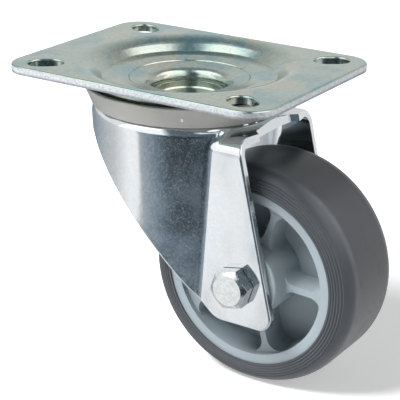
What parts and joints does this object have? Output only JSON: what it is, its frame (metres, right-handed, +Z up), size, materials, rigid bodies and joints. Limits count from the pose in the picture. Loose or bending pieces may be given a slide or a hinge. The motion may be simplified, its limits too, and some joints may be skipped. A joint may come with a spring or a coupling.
{
  "type": "swivel castor",
  "caption": "Swivel castor with a slotted top plate, drawn steel fork, ball-bearing swivel head and a spoked plastic wheel with a grey rubber tyre on a roller bearing.",
  "frame": {"origin": "where the swivel axis meets the top face of the mounting plate", "axes": "+Z up out of the plate's top face, +X towards the trailing wheel, +Y along the wheel's axle away from the bolt head"},
  "size_m": [0.1278, 0.08, 0.1075],
  "materials": {
    "plate_zinc": "satin",
    "fork_zinc": "satin",
    "bearing_steel": "polished",
    "fastener_zinc": "satin",
    "seal_plastic": "satin",
    "insert_nylon": "satin",
    "wheel_plastic": "satin",
    "tyre_rubber": "satin",
    "cage_plastic": "satin"
  },
  "bodies": {
    "head": {"mounting_plate": "plate_zinc", "king_pin": "plate_zinc", "lower_race_cup": "plate_zinc", "upper_balls": "bearing_steel", "lower_balls": "bearing_steel"},
    "fork": {"swivel_fork": "fork_zinc", "dust_seal": "seal_plastic", "axle_bolt": "fastener_zinc", "lock_nut": "fastener_zinc", "nut_insert": "insert_nylon", "axle_sleeve": "bearing_steel", "near_thrust_washer": "fastener_zinc", "far_thrust_washer": "fastener_zinc"},
    "wheel": {"wheel_hub": "wheel_plastic", "wheel_web": "wheel_plastic", "wheel_spokes": "wheel_plastic", "wheel_rim": "wheel_plastic", "tyre": "tyre_rubber", "roller_cage": "cage_plastic", "bearing_rollers": "bearing_steel"}
  },
  "joints": [
    {"name": "swivel", "type": "hinge", "parent": "head", "child": "fork", "pos_m": [0, 0, 0], "axis": [0, 0, 1], "continuous": true},
    {"name": "wheel_spin", "type": "hinge", "parent": "fork", "child": "wheel", "pos_m": [0.0353, 0, -0.0675], "axis": [0, 1, 0], "continuous": true}
  ]
}
